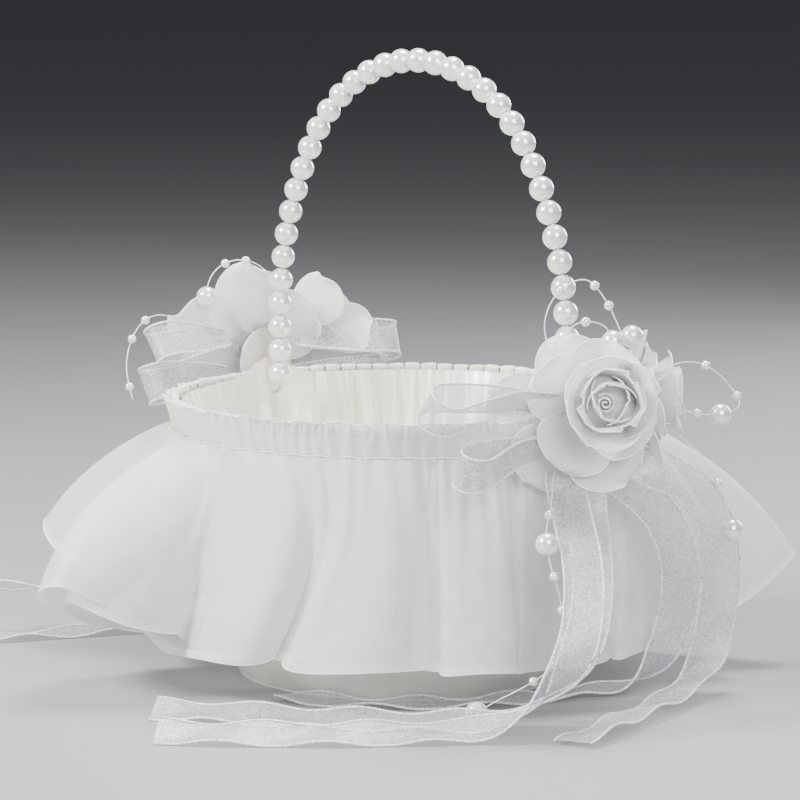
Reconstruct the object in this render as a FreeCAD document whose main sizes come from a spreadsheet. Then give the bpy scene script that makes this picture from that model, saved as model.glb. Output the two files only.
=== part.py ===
import FreeCAD, Part
import math
import os

import Sketcher
from FreeCAD import Placement, Rotation, Vector

# Flower girl basket: a flared satin drum with a two-layer organza skirt, a bead-strung wire
# handle that swings in two eyelets, and a cluster of roses, ribbon and bead garland outside
# each foot of the handle.  Millimetres, +Z up, origin at the centre of the base's underside.
# The handle stands in a plane parallel to X.

doc = FreeCAD.newDocument("flower_girl_basket")
sheet = doc.addObject("Spreadsheet::Sheet", "Sizes")

DIMENSIONS = {
    "base_radius": 69,          # outside of the satin cover at the table
    "rim_radius": 98,           # outside of the satin cover, carried up to the rim height
    "rim_height": 114,
    "wall_top": 110,            # where wall, cover and lining end under the pleated binding
    "cover_thickness": 0.8,
    "wall_thickness": 2,
    "lining_thickness": 2.4,
    "layer_gap": 0.2,
    "board_thickness": 2.5,
    "pad_thickness": 9,
    "pad_round": 3,
    "binding_height": 5,
    "binding_width": 3.6,
    "pleat_count": 84,
    "pleat_gap": 0.6,
    "gather_height": 102,       # the stitched line that the skirt hangs from
    "frill_top": 116.5,
    "frill_thickness": 0.6,
    "thread_diameter": 0.8,
    "skirt_chord": 90,          # gather line to hem, straight across
    "skirt_thickness": 0.8,
    "hem_radius": 106,          # hem between the big folds
    "handle_offset": 7,         # the handle stands this far behind the middle, along +Y
    "handle_half_span": 86,
    "handle_side_radius": 146,
    "handle_spring_height": 139,
    "handle_rise": 112,
    "pivot_height": 106,
    "wire_diameter": 1.6,
    "wire_bend": 3,
    "wire_end": 98.6,           # how far out the wire's ends reach along X
    "pearl_diameter": 9.9,
    "pearl_bore": 2.1,
    "bore_clearance": 0.06,
    "eyelet_radius": 2.2,
    "eyelet_inner": 93.4,       # inner end of the eyelet's barrel, along X
    "flange_radius": 3.6,
    "flange_face": 97.2,        # outer face of the eyelet's flange, along X
    "crimp_radius": 1.8,
    "crimp_length": 1.3,
    "felt_radius": 14,
    "felt_thickness": 1.2,
    "felt_face": 100.6,         # inner face of the felt pad, along X
    "ribbon_width": 15,
    "ribbon_thickness": 0.4,
    "petal_thickness": 0.8,
    "line_diameter": 0.5,
    "small_bead_diameter": 3.7,
    "large_bead_diameter": 9,
}
for row, (name, value) in enumerate(DIMENSIONS.items(), start=1):
    sheet.set(f"A{row}", name)
    sheet.set(f"B{row}", str(value))
    sheet.setAlias(f"B{row}", name)
doc.recompute()

parts = []      # every sub-part, in the order it is made


def size(name):
    """A driving dimension, read from the sheet."""
    return float(sheet.get(name))


def cell(name):
    """The same dimension as an expression."""
    return f"Sizes.{name}"


def drum_radius(height, inset="0"):
    """Expression for the drum's outer radius at a height, less an inset."""
    flare = f"({cell('rim_radius')} - {cell('base_radius')}) / {cell('rim_height')}"
    return f"{cell('base_radius')} + {flare} * ({height}) - ({inset})"


def drum_radius_mm(height):
    """The drum's outer radius at a height, as a number."""
    flare = (size("rim_radius") - size("base_radius")) / size("rim_height")
    return size("base_radius") + flare * height


def new_sketch(body, role, name):
    """A sketch on one of the body's own origin planes."""
    sketch = body.newObject("Sketcher::SketchObject", name)
    plane = next(feature for feature in body.Origin.OriginFeatures if feature.Role == role)
    sketch.AttachmentSupport = (plane, [""])
    sketch.MapMode = "FlatFace"
    return sketch


def bound(sketch, constraint, formula):
    """Adds a constraint whose value follows the sheet."""
    index = sketch.addConstraint(constraint)
    sketch.setExpression(f"Constraints[{index}]", formula)


def polygon(sketch, corners):
    """A closed outline; each corner is an (across, up) pair of expressions, None on an axis."""
    count = len(corners)
    turns = [2 * math.pi * k / count for k in range(count)]
    starts = [Vector(60 + 20 * math.cos(turn), 60 + 20 * math.sin(turn), 0) for turn in turns]
    for k in range(count):
        sketch.addGeometry(Part.LineSegment(starts[k], starts[(k + 1) % count]), False)
    for k in range(count):
        sketch.addConstraint(Sketcher.Constraint("Coincident", k, 2, (k + 1) % count, 1))
    for k, (across, up) in enumerate(corners):
        for kind, axis, formula in (("DistanceX", -2, across), ("DistanceY", -1, up)):
            if formula is None:
                sketch.addConstraint(Sketcher.Constraint("PointOnObject", k, 1, axis))
            else:
                bound(sketch, Sketcher.Constraint(kind, -1, 1, k, 1, 50.0), formula)


def turned(label, corners):
    """A PartDesign body of revolution about Z from (radius, height) corners."""
    body = doc.addObject("PartDesign::Body", label)
    sketch = new_sketch(body, "XZ_Plane", label + "_outline")
    polygon(sketch, corners)
    feature = body.newObject("PartDesign::Revolution", label + "_turn")
    feature.Profile = sketch
    feature.ReferenceAxis = (sketch, ["V_Axis"])
    feature.Angle = 360
    doc.recompute()
    parts.append(body)
    return body


def conical_shell(label, low, high, inset, thickness):
    """A turned wall of even thickness that follows the drum's flare between two heights."""
    inner = f"{inset} + {thickness}"
    return turned(label, [
        (drum_radius(low, inner), low),
        (drum_radius(low, inset), low),
        (drum_radius(high, inset), high),
        (drum_radius(high, inner), high),
    ])


def bore_pivot_holes(body, radius):
    """Bores along X through both sides of a turned body, on the handle's pivot line."""
    sketch = new_sketch(body, "YZ_Plane", body.Label + "_pivot_circle")
    sketch.addGeometry(Part.Circle(Vector(5, 90, 0), Vector(0, 0, 1), 3), False)
    bound(sketch, Sketcher.Constraint("DistanceX", -1, 1, 0, 3, 5.0), cell("handle_offset"))
    bound(sketch, Sketcher.Constraint("DistanceY", -1, 1, 0, 3, 90.0), cell("pivot_height"))
    bound(sketch, Sketcher.Constraint("Radius", 0, 3.0), radius)
    doc.recompute()
    before = body.Shape.Volume
    pocket = body.newObject("PartDesign::Pocket", body.Label + "_pivot_holes")
    pocket.Profile = sketch
    pocket.Type = "ThroughAll"
    pocket.Midplane = True
    doc.recompute()
    assert body.Shape.Volume < before, f"{body.Label} has no pivot holes"


def shaped(label, shape, placement=Placement()):
    """A sub-part whose shape is worked out from the sheet's sizes by a formula."""
    part = doc.addObject("Part::Feature", label)
    part.Shape = shape
    part.Placement = placement
    parts.append(part)
    return part


# --- the drum ------------------------------------------------------------------------------

def make_base():
    """The board that the basket stands on, and the satin glued under it."""
    turned("bottom_cover", [
        (None, None),
        (drum_radius("0"), None),
        (drum_radius("0"), cell("cover_thickness")),
        (None, cell("cover_thickness")),
    ])
    low = f"{cell('cover_thickness')} + 0.1"
    high = f"{low} + {cell('board_thickness')}"
    inset = f"{cell('cover_thickness')} + {cell('wall_thickness')} + 3 * {cell('layer_gap')}"
    turned("base_board", [
        (None, low),
        (drum_radius("0", inset), low),
        (drum_radius("0", inset), high),
        (None, high),
    ])


def make_walls():
    """Card wall with its satin cover outside and its gathered lining inside."""
    foot = f"{cell('cover_thickness')} + 0.1"
    top = cell("wall_top")
    wall_inset = f"{cell('cover_thickness')} + {cell('layer_gap')}"
    lining_inset = f"{wall_inset} + {cell('wall_thickness')} + {cell('layer_gap')}"
    lining_foot = f"{foot} + {cell('board_thickness')} + 0.2"
    eyelet_hole = f"{cell('eyelet_radius')} + 0.1"
    cover = conical_shell("outer_cover", foot, top, "0", cell("cover_thickness"))
    wall = conical_shell("wall_shell", foot, top, wall_inset, cell("wall_thickness"))
    lining = conical_shell("satin_lining", lining_foot, top, lining_inset,
                           cell("lining_thickness"))
    bore_pivot_holes(cover, eyelet_hole)
    bore_pivot_holes(wall, eyelet_hole)
    bore_pivot_holes(lining, cell("wire_diameter"))


def make_floor_pad():
    """Padded satin disc on the inside of the base, with a rounded top edge."""
    low = f"{cell('cover_thickness')} + {cell('board_thickness')} + 0.4"
    high = f"{low} + {cell('pad_thickness')}"
    layers = [cell("cover_thickness"), cell("wall_thickness"), cell("lining_thickness")]
    inset = " + ".join(layers + [f"4 * {cell('layer_gap')}", "0.4"])
    pad = turned("floor_pad", [
        (None, low),
        (drum_radius(low, inset), low),
        (drum_radius(low, inset), high),
        (None, high),
    ])
    disc = pad.Tip
    circles = [(edge.Vertexes[0].Z, index) for index, edge in enumerate(disc.Shape.Edges, 1)
               if isinstance(edge.Curve, Part.Circle)]
    fillet = pad.newObject("PartDesign::Fillet", "floor_pad_round")
    fillet.Base = (disc, [f"Edge{max(circles)[1]}"])
    fillet.setExpression("Radius", cell("pad_round"))
    pad.Tip = fillet
    doc.recompute()


def make_binding():
    """Box-pleated satin binding that sits on the rim, with a thin slit between pleats."""
    low = f"{cell('wall_top')} + {cell('layer_gap')}"
    high = f"{low} + {cell('binding_height')}"
    outer = f"{cell('rim_radius')} - 1"
    inner = f"{outer} - {cell('binding_width')}"
    ring = turned("rim_pleats", [(inner, low), (outer, low), (outer, high), (inner, high)])
    # The slit opens inwards, and the outer third of the binding stays whole.
    sketch = new_sketch(ring, "XY_Plane", "pleat_slit_outline")
    half = f"{cell('pleat_gap')} / 2"
    near = f"{inner} - 1"
    far = f"{outer} - {cell('binding_width')} / 3"
    polygon(sketch, [(near, f"0 - {half}"), (far, f"0 - {half}"), (far, half), (near, half)])
    doc.recompute()
    before = ring.Shape.Volume
    slit = ring.newObject("PartDesign::Pocket", "pleat_slit")
    slit.Profile = sketch
    slit.Reversed = True
    slit.Type = "ThroughAll"
    doc.recompute()
    slits = ring.newObject("PartDesign::PolarPattern", "pleat_slits")
    slits.Originals = [slit]
    slits.Axis = (sketch, ["N_Axis"])
    slits.Angle = 360
    slits.setExpression("Occurrences", cell("pleat_count"))
    ring.Tip = slits
    doc.recompute()
    assert ring.Shape.Volume < before, "the binding has no pleats"


def make_skirt_heading():
    """The frilled heading above the gather line, and the thread that gathers it."""
    low = f"{cell('gather_height')} + {cell('thread_diameter')}"
    stand_off = f"0 - 0.5 - {cell('frill_thickness')}"
    frill = conical_shell("heading_frill", low, cell("frill_top"), stand_off,
                          cell("frill_thickness"))
    bore_pivot_holes(frill, f"{cell('flange_radius')} + 0.6")
    thread = doc.addObject("Part::Torus", "gather_thread")
    thread.setExpression("Radius1", drum_radius(cell("gather_height"), "0 - 1"))
    thread.setExpression("Radius2", f"{cell('thread_diameter')} / 2")
    thread.setExpression("Placement.Base.z", cell("gather_height"))
    parts.append(thread)


# Big folds of the skirt: direction round Z in degrees, how far the hem stands out past
# hem_radius in millimetres, and half the fold's width in degrees.
SKIRT_FOLDS = [
    (37, 40, 7), (55, 58, 8), (105, 34, 12), (140, 44, 12), (172, 28, 9),
    (201, 64, 10), (251, 60, 11), (285, 10, 9), (310, 6, 8), (335, 8, 9),
]


def hem_reach(direction, fullness):
    """Radius of the hem in a direction; fullness scales the folds."""
    radius = size("hem_radius")
    for fold, height, width in SKIRT_FOLDS:
        turn = (direction - fold + 180) % 360 - 180
        radius += fullness * height * math.exp(-(turn / width) ** 2)
    return radius


def skirt_point(direction, share, top_radius, top_height, chord, inset, fullness):
    """A point of the skirt, share of the way from the gather line to the hem."""
    out = hem_reach(direction, fullness) - inset - top_radius
    down = math.sqrt(chord ** 2 - out ** 2)
    arc = math.pi * share / 2
    radius = top_radius + out * (0.45 * math.sin(arc) + 0.55 * share)
    height = top_height - down * (0.45 * (1 - math.cos(arc)) + 0.55 * share)
    angle = math.radians(direction)
    return Vector(radius * math.cos(angle), radius * math.sin(angle), height)


def patch(a, b, c, d):
    """Two triangles that fill a four-sided patch of cloth."""
    return [Part.Face(Part.makePolygon([a, b, c, a])), Part.Face(Part.makePolygon([a, c, d, a]))]


def skirt_solid(top_radius, top_height, chord, inset, fullness):
    """A closed cloth solid: outer and inner sheets, joined at the gather line and the hem."""
    steps, rows = 72, 4
    sheets = []
    for shift in (0, size("skirt_thickness")):
        sheets.append([[skirt_point(360 * k / steps, row / rows, top_radius - shift, top_height,
                                    chord, inset + shift, fullness) for k in range(steps)]
                       for row in range(rows + 1)])
    outer, inner = sheets
    faces = []
    for k in range(steps):
        n = (k + 1) % steps
        for row in range(rows):
            faces += patch(outer[row][k], outer[row + 1][k], outer[row + 1][n], outer[row][n])
            faces += patch(inner[row][k], inner[row][n], inner[row + 1][n], inner[row + 1][k])
        faces += patch(outer[0][k], outer[0][n], inner[0][n], inner[0][k])
        faces += patch(outer[rows][k], inner[rows][k], inner[rows][n], outer[rows][n])
    shell = Part.makeShell(faces)
    shell.sewShape()
    return Part.makeSolid(shell)


def make_skirts():
    """Two layers of organza that hang from the thread."""
    top = size("gather_height") - size("thread_diameter")
    radius = drum_radius_mm(top) + 2.4
    chord = size("skirt_chord")
    shaped("skirt_upper", skirt_solid(radius, top, chord, 0, 1))
    shaped("skirt_under", skirt_solid(radius - 1.3, top, chord - 2, 3, 0.86))


# --- the handle ----------------------------------------------------------------------------

def arch_edges():
    """Centreline from one leg's foot over the arch to the other leg's foot."""
    y = size("handle_offset")
    half = size("handle_half_span")
    side = size("handle_side_radius")
    spring = size("handle_spring_height")
    rise = size("handle_rise")
    foot = size("pivot_height") + size("wire_bend")
    off_centre = side - half
    top = (side ** 2 - off_centre ** 2 - rise ** 2) / (2 * (side - rise))
    # Each side arc meets the top arc on the line through both centres.
    meet = math.atan2(rise - top, off_centre)

    def on_side(angle, sign):
        across = side * math.cos(angle) - off_centre
        return Vector(sign * across, y, spring + side * math.sin(angle))

    def side_arc(sign, angles):
        return Part.Arc(*[on_side(angle, sign) for angle in angles]).toShape()

    apex = Vector(0, y, spring + rise)
    return [
        Part.LineSegment(Vector(half, y, foot), on_side(0, 1)).toShape(),
        side_arc(1, (0, meet / 2, meet)),
        Part.Arc(on_side(meet, 1), apex, on_side(meet, -1)).toShape(),
        side_arc(-1, (meet, meet / 2, 0)),
        Part.LineSegment(on_side(0, -1), Vector(-half, y, foot)).toShape(),
    ]


def foot_edges(sign):
    """From a leg's foot round the bend and out along the pivot line, on one side."""
    y = size("handle_offset")
    half = size("handle_half_span")
    bend = size("wire_bend")
    pivot = size("pivot_height")
    sag = bend * (1 - math.sqrt(0.5))
    leg = Vector(sign * half, y, pivot + bend)
    middle = Vector(sign * (half + sag), y, pivot + sag)
    peg = Vector(sign * (half + bend), y, pivot)
    end = Vector(sign * size("wire_end"), y, pivot)
    return [Part.Arc(leg, middle, peg).toShape(), Part.LineSegment(peg, end).toShape()]


def make_handle_wire():
    """One length of wire: two pegs, two bends, two legs and the arch."""
    edges = Part.sortEdges(foot_edges(1) + arch_edges() + foot_edges(-1))[0]
    path = Part.Wire(edges)
    start = edges[0].firstVertex(True).Point
    section = Part.Wire(Part.makeCircle(size("wire_diameter") / 2, start, Vector(1, 0, 0)))
    shaped("handle_wire", path.makePipeShell([section], True, False))


def along(edges, distance):
    """The point and the heading at a distance along a chain of edges."""
    for edge in edges:
        if distance <= edge.Length:
            break
        distance -= edge.Length
    parameter = edge.getParameterByLength(min(distance, edge.Length))
    return edge.valueAt(parameter), edge.tangentAt(parameter)


def bored_bead(point, heading, diameter, bore):
    """A ball with a hole through it along the heading, which is the ball's own axis."""
    reach = heading * diameter
    ball = Part.makeSphere(diameter / 2, point, heading)
    return ball.cut(Part.makeCylinder(bore / 2, 2 * diameter, point - reach, heading))


def make_pearls():
    """Bored pearls strung close together on the legs and the arch."""
    edges = arch_edges()
    diameter = size("pearl_diameter")
    length = sum(edge.Length for edge in edges)
    # The lowest pearls sit on the wire's bends.
    gaps = int((length - diameter) / diameter)
    pitch = (length - diameter) / gaps
    pearls = []
    for k in range(gaps + 1):
        point, heading = along(edges, diameter / 2 + k * pitch)
        pearls.append(bored_bead(point, heading, diameter, size("pearl_bore")))
    shaped("handle_pearls", Part.makeCompound(pearls))
    print(f"handle: {len(pearls)} pearls at a pitch of {pitch:.2f} mm")


def x_cylinder(name, radius, inner, outer, sign):
    """A cylinder along X on the pivot line, between two distances from the middle."""
    cylinder = doc.addObject("Part::Cylinder", name)
    cylinder.setExpression("Radius", radius)
    cylinder.setExpression("Height", f"({outer}) - ({inner})")
    cylinder.Placement.Rotation = Rotation(Vector(0, 0, 1), Vector(sign, 0, 0))
    cylinder.setExpression("Placement.Base.x", f"{sign} * ({inner})")
    cylinder.setExpression("Placement.Base.y", cell("handle_offset"))
    cylinder.setExpression("Placement.Base.z", cell("pivot_height"))
    return cylinder


def cut(name, base, tool):
    part = doc.addObject("Part::Cut", name)
    part.Base = base
    part.Tool = tool
    return part


def make_eyelet(side, sign):
    """A barrel through the wall with an outer flange that is flat outside and cone-backed."""
    label = f"eyelet_{side}"
    barrel = x_cylinder(label + "_barrel", cell("eyelet_radius"), cell("eyelet_inner"),
                        cell("flange_face"), sign)
    disc = x_cylinder(label + "_disc", cell("flange_radius"), f"{cell('flange_face')} - 3",
                      cell("flange_face"), sign)
    drum = doc.addObject("Part::Cone", label + "_drum")
    drum.setExpression("Radius1", f"{cell('base_radius')} + 0.1")
    drum.setExpression("Radius2", f"{cell('rim_radius')} + 0.1")
    drum.setExpression("Height", cell("rim_height"))
    bore = x_cylinder(label + "_bore", f"{cell('wire_diameter')} / 2 + {cell('bore_clearance')}",
                      f"{cell('eyelet_inner')} - 1", f"{cell('flange_face')} + 1", sign)
    grommet = doc.addObject("Part::Fuse", label + "_solid")
    grommet.Base = barrel
    grommet.Tool = cut(label + "_flange", disc, drum)
    parts.append(cut(label, grommet, bore))


def make_crimps():
    """The two small crimps that keep the wire's ends in the eyelets, as one group."""
    crimps = []
    for sign in (1, -1):
        inner = Vector(sign * (size("wire_end") - size("crimp_length")), size("handle_offset"),
                       size("pivot_height"))
        heading = Vector(sign, 0, 0)
        tube = Part.makeCylinder(size("crimp_radius"), size("crimp_length"), inner, heading)
        hole = Part.makeCylinder(size("wire_diameter") / 2, size("crimp_length"), inner, heading)
        crimps.append(tube.cut(hole))
    shaped("wire_crimps", Part.makeCompound(crimps))


# --- roses ---------------------------------------------------------------------------------

def make_felt_pad(side, sign):
    """Felt disc that the roses are glued to, upright outside the handle's foot."""
    pad = doc.addObject("Part::Cylinder", f"felt_pad_{side}")
    pad.setExpression("Radius", cell("felt_radius"))
    pad.setExpression("Height", cell("felt_thickness"))
    pad.Placement.Rotation = Rotation(Vector(0, 0, 1), Vector(sign, 0, 0))
    pad.setExpression("Placement.Base.x", f"{sign} * {cell('felt_face')}")
    pad.setExpression("Placement.Base.y", f"{cell('handle_offset')} + 5")
    pad.setExpression("Placement.Base.z", f"{cell('rim_height')} + 4")
    parts.append(pad)


def petal_ring(count, foot, middle, tip, shift, gap):
    """Curved petals round Z: an arc through three (radius, height) points, turned part way."""
    lower = [Vector(radius, 0, height) for radius, height in (foot, middle, tip)]
    upper = [point + shift for point in lower]
    outline = Part.Wire([
        Part.Arc(*lower).toShape(),
        Part.LineSegment(lower[2], upper[2]).toShape(),
        Part.Arc(*reversed(upper)).toShape(),
        Part.LineSegment(upper[0], lower[0]).toShape(),
    ])
    petal = Part.Face(outline).revolve(Vector(), Vector(0, 0, 1), 360 / count - gap)
    petals = []
    for k in range(count):
        petals.append(petal.rotated(Vector(), Vector(0, 0, 1), 360 * k / count))
    return Part.makeCompound(petals)


def make_rose(label, foot, facing, radius):
    """A rose: five open outer petals, four cupped inner petals and a rolled bud."""
    placement = Placement(Vector(*foot), Rotation(Vector(0, 0, 1), Vector(*facing)))
    thickness = size("petal_thickness")
    k = radius / 28
    outer = petal_ring(5, (6.5 * k, 0.5), (18 * k, 4.5 * k), (radius, 14 * k),
                       Vector(0, 0, thickness), 5)
    inner = petal_ring(4, (7 * k, 3 * k), (11.5 * k, 9 * k), (14.5 * k, 21 * k),
                       Vector(-thickness, 0, 0.3), 8)
    shaped(label + "_outer_petals", outer, placement)
    shaped(label + "_inner_petals", inner, placement)
    bud = turned(label + "_bud", [
        (None, "0.5"),
        (f"{5 * k}", "0.5"),
        (f"{5.6 * k}", f"{10 * k}"),
        (f"{4 * k}", f"{17 * k}"),
        (None, f"{20 * k}"),
    ])
    bud.Placement = placement


def make_roses():
    """Two roses outside each foot of the handle."""
    make_rose("rose_right", (113, -1, 122), (0.73, -0.66, 0.12), 28)
    make_rose("side_rose_right", (104, 26, 121), (0.68, 0.73, 0.10), 24)
    make_rose("rose_left", (-107, 6, 122), (-0.90, 0.35, 0.25), 26)
    make_rose("side_rose_left", (-100, 40, 124), (-0.55, 0.82, 0.15), 20)


# --- ribbon --------------------------------------------------------------------------------

def ribbon(stations):
    """A strip of ribbon through (point, across) stations; across is the way its width lies."""
    width = size("ribbon_width")
    thickness = size("ribbon_thickness")
    sections = []
    last = len(stations) - 1
    for k, (point, across) in enumerate(stations):
        heading = stations[min(k + 1, last)][0] - stations[max(k - 1, 0)][0]
        heading.normalize()
        side = across - heading * across.dot(heading)
        side.normalize()
        half_width = side * (width / 2)
        half_thickness = heading.cross(side) * (thickness / 2)
        corners = [point + half_width + half_thickness, point - half_width + half_thickness,
                   point - half_width - half_thickness, point + half_width - half_thickness]
        sections.append(Part.makePolygon(corners + corners[:1]))
    strip = Part.makeLoft(sections, True, True)
    return strip if strip.Volume > 0 else strip.reversed()


def bow_loop(root, heading, length, swell, neck):
    """One loop of a bow: a flat neck, then a round end that swells away from the drum."""
    heading = Vector(*heading)
    heading.normalize()
    outward = heading.cross(Vector(0, 0, 1))
    if outward.dot(Vector(root.x, root.y, 0)) < 0:
        outward = outward * -1
    outward.normalize()
    across = outward.cross(heading) * size("ribbon_width")

    def at(run, bulge):
        return root + heading * run + outward * bulge - across / 2

    centre = length - swell
    path = Part.Wire([
        Part.LineSegment(at(0, 0), at(centre, 0)).toShape(),
        Part.Arc(at(centre, 0), at(length, swell), at(centre, 2 * swell)).toShape(),
        Part.LineSegment(at(centre, 2 * swell), at(neck, 1)).toShape(),
        Part.LineSegment(at(neck, 1), at(0, 1)).toShape(),
    ])
    band = path.makeOffset2D(size("ribbon_thickness"), 0, True, True)
    return band.extrude(across)


# Loops of each bow: root, heading, and length, swell and neck in millimetres.
BOW_LOOPS = {
    "right": [
        ((104, -7, 122), (-0.20, -0.98, 0.10), 72, 7, 27),
        ((104.5, -7, 106), (-0.14, -0.98, -0.05), 60, 6, 25),
        ((103, -4, 122), (0.02, 1, 0), 24, 2.2, 6),
    ],
    "left": [
        ((-105, -6, 129), (0.20, -0.96, 0.10), 44, 6, 12),
        ((-105, -6, 113), (0.20, -0.96, 0.06), 48, 6, 12),
        ((-101.5, 28, 126.5), (0.50, 0.866, 0), 48, 5.5, 33),
        ((-101.5, 28, 110.5), (0.50, 0.866, 0), 44, 5.5, 30),
    ],
}
KNOTS = {"right": (109, -4, 110), "left": (-108.5, -6, 112)}


def make_bow(side):
    """The loops of a bow, and the knot in their middle."""
    loops = [bow_loop(Vector(*root), *shape) for root, *shape in BOW_LOOPS[side]]
    shaped(f"bow_loops_{side}", Part.makeCompound(loops))
    knot = doc.addObject("Part::Ellipsoid", f"bow_knot_{side}")
    knot.Radius1 = 4
    knot.Radius2 = 2.6
    knot.Radius3 = 2.6
    knot.Placement = Placement(Vector(*KNOTS[side]), Rotation())
    parts.append(knot)


# Ribbon tails: the ways the width lies where the tail hangs and where it rests on the table,
# then (x, y, z, lie) stations from the bow to the cut end.  Lie goes from 0, hanging, to 1.
TAILS = {
    "tail_right_inner": ((0.68, 0.73, 0), (-0.70, 0.66, 0.28), [
        (106, -3, 97, 0), (108, -4.5, 93, 0), (112, -8, 88, 0), (119, -15, 81, 0),
        (130, -24, 70, 0), (139, -32, 56, 0), (142, -38, 40, 0.1), (138, -43, 25, 0.3),
        (129, -49, 12, 0.6), (115, -59, 4, 0.9), (97, -74, 2.6, 1), (75, -93, 2.5, 1),
        (49, -111, 2.5, 1), (25, -126, 2.5, 1), (5, -140, 2.5, 1),
    ]),
    "tail_right_outer": ((0.68, 0.73, 0), (-0.70, 0.66, 0.34), [
        (107, -15, 96, 0), (110, -18, 92, 0), (116, -22, 86, 0), (125, -28, 78, 0),
        (136, -35, 67, 0), (144, -42, 54, 0), (147, -48, 38, 0.1), (144, -55, 24, 0.3),
        (135, -63, 12, 0.6), (122, -76, 4, 0.9), (108, -94, 3, 1), (92, -115, 3, 1),
        (74, -134, 3, 1), (56, -151, 3, 1), (38, -166, 3, 1),
    ]),
    "tail_right_base": ((0.68, 0.73, 0), (-0.66, 0.75, 0.02), [
        (103, 12, 96, 0), (107, 16, 90, 0), (112, 24, 82, 0), (115, 33, 72, 0),
        (116, 40, 58, 0), (113, 45, 43, 0), (109, 46, 28, 0.1), (104, 42, 13, 0.4),
        (97, 29, 3, 0.8), (90, 11, 0.8, 1), (84, -9, 0.6, 1), (74, -33, 0.6, 1),
        (56, -56, 0.6, 1), (34, -72, 0.6, 1), (13, -79, 0.6, 1),
    ]),
    "tail_right_side": ((0.68, 0.73, 0), (0.95, 0.20, 0.15), [
        (106, 15, 101, 0), (111, 17.5, 98, 0), (119, 23, 94, 0), (127, 33, 88, 0),
        (130, 42, 78, 0), (129, 50, 65, 0), (124, 57, 48, 0), (119, 60, 31, 0.1),
        (118, 57, 16, 0.4), (121, 44, 6, 0.8), (128, 20, 1.8, 1), (137, -8, 1.6, 1),
        (146, -35, 1.6, 1), (154, -58, 1.6, 1),
    ]),
    "tail_left_near": ((0.10, -0.99, 0), (0.93, -0.37, 0.02), [
        (-106, -12, 103, 0), (-107.5, -12, 97, 0), (-110.5, -12.5, 88, 0),
        (-115, -12, 76, 0), (-120, -12, 62, 0), (-125.5, -13, 47, 0), (-129.5, -15, 32, 0),
        (-132, -19, 18, 0.2), (-134, -27, 7, 0.7), (-138, -38, 1.4, 1),
        (-145, -54, 0.8, 1), (-153, -72, 0.8, 1), (-161, -91, 0.8, 1), (-168, -110, 0.8, 1),
    ]),
    "tail_left_far": ((0.10, -0.99, 0), (0.85, -0.45, 0.25), [
        (-108.5, -2, 103, 0), (-110.5, -2, 96, 0), (-114, -2, 86, 0), (-119.5, -3, 73, 0),
        (-125, -5, 59, 0), (-131, -9, 46, 0.2), (-138, -16, 34, 0.5), (-145, -27, 25, 0.8),
        (-151, -40, 20, 1), (-158, -54, 18.5, 1), (-166, -69, 19, 1), (-175, -84, 21, 1),
    ]),
}


def make_tails():
    """Ribbon ends that hang from the bows over the skirt and lie on the table."""
    for label, (hang_across, lie_across, stations) in TAILS.items():
        hanging = Vector(*hang_across)
        lying = Vector(*lie_across)
        strip = ribbon([(Vector(x, y, z), hanging * (1 - lie) + lying * lie)
                        for x, y, z, lie in stations])
        shaped(label, strip)
        length = strip.Volume / (size("ribbon_width") * size("ribbon_thickness"))
        print(f"{label}: {length:.0f} mm of ribbon")


# --- bead garland --------------------------------------------------------------------------

# Each strand: the points of its route, and which runs carry a bead at their middle.  The
# beads are moulded on the line, "small" or "large".
STRANDS = {
    "garland_right_loop": (
        [(106, -8, 128), (102.5, -13, 136), (99.5, -17.5, 144), (98, -18.5, 153),
         (98, -14.5, 162), (100.5, -7.5, 168.5), (104.5, -0.5, 170.5), (108, 4, 164),
         (112, 7, 155.5), (115, 9, 146.5)],
        {4: "small", 6: "small", 7: "small"}),
    "garland_right_arc": (
        [(104, 17, 141), (105, 12, 149), (104.5, 4, 153), (102, -4, 153),
         (99.5, -10, 147.5), (99.5, -12.5, 139.5)],
        {2: "small"}),
    "garland_right_pearls": (
        [(107.5, 3.5, 137), (108.9, 5.6, 143.2), (110.3, 11.2, 146.8), (111.3, 24, 146),
         (112, 27, 139), (109, 30, 131)],
        {1: "large", 2: "large", 4: "small"}),
    "garland_right_side": (
        [(109, 30, 129), (113, 39, 134), (117, 49, 134.5), (119.5, 57, 130.5),
         (123, 63.5, 123), (129, 63, 117), (131, 54, 114.5), (129, 43, 114),
         (125, 33, 117)],
        {2: "small", 4: "small", 6: "large", 7: "small"}),
    "garland_right_pendant": (
        [(125, 31, 107), (132, 33.5, 102), (137, 37, 93.5), (139.5, 41, 83.5),
         (140, 44.5, 73.5), (140, 47, 65.5)],
        {2: "small", 4: "large"}),
    "garland_right_hanging": (
        [(105.5, -19, 97), (110, -25.5, 93), (117, -32, 86.5), (122.5, -41.5, 78),
         (127, -44, 66), (131, -42, 54), (132.5, -41, 42), (130, -39.5, 30),
         (122.5, -40.5, 21), (112, -43.5, 14), (102, -50.5, 7.6), (98, -60, 2)],
        {2: "small", 3: "large", 4: "small", 5: "small", 6: "small", 7: "small", 8: "small",
         10: "large"}),
    "garland_left_top": (
        [(-106, -12, 134), (-109, -14, 142), (-110, -14, 151), (-108.5, -9.5, 159),
         (-105, -1.5, 162.5), (-101.5, 7.5, 160.5), (-100, 14.5, 154), (-101, 20, 146)],
        {1: "large", 3: "small", 4: "small"}),
    "garland_left_side": (
        [(-108, -22, 134), (-112, -31, 139.5), (-112.5, -41.5, 141), (-111.5, -51, 136.5),
         (-110, -57.5, 127.5), (-107, -61, 117), (-102.5, -61, 107.5)],
        {2: "small", 3: "small", 5: "small"}),
}


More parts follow.
